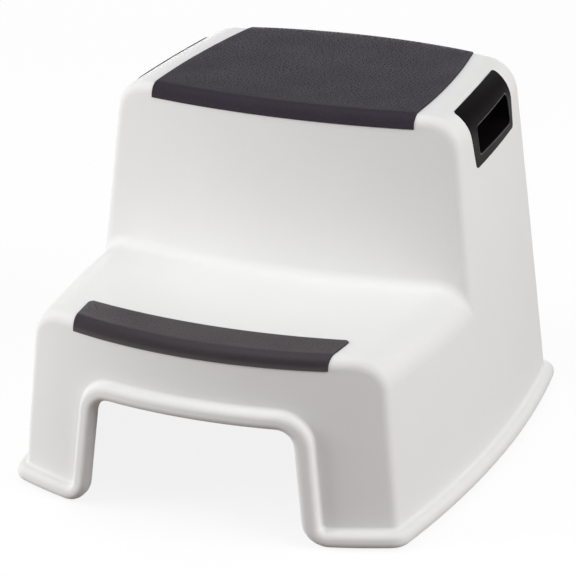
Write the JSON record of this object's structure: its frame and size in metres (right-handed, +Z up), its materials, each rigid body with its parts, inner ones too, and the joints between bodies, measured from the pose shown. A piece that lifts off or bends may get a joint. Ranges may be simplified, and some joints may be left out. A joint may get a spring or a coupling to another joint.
{
  "type": "step stool",
  "caption": "Stepped stool for children: hollow moulded shell with an arched front, rubber tread pads folded over the nosings, side hand-hold inserts and push-in rubber feet.",
  "frame": {"origin": "on the floor, under the middle of the stool's bounding box", "axes": "+Z up, +Y from the low step to the tall step, +X to the right of someone facing the front"},
  "size_m": [0.3326, 0.3797, 0.2624],
  "materials": {
    "shell_white": "satin",
    "tread_rubber": "fine raised texture",
    "hand_hold_black": "satin",
    "foot_rubber": "matte"
  },
  "bodies": {
    "root": {"shell": "shell_white", "upper_tread_pad": "tread_rubber", "lower_tread_pad": "tread_rubber", "left_hand_hold": "hand_hold_black", "right_hand_hold": "hand_hold_black", "foot_front_left": "foot_rubber", "foot_front_right": "foot_rubber", "foot_rear_left": "foot_rubber", "foot_rear_right": "foot_rubber"}
  },
  "joints": []
}
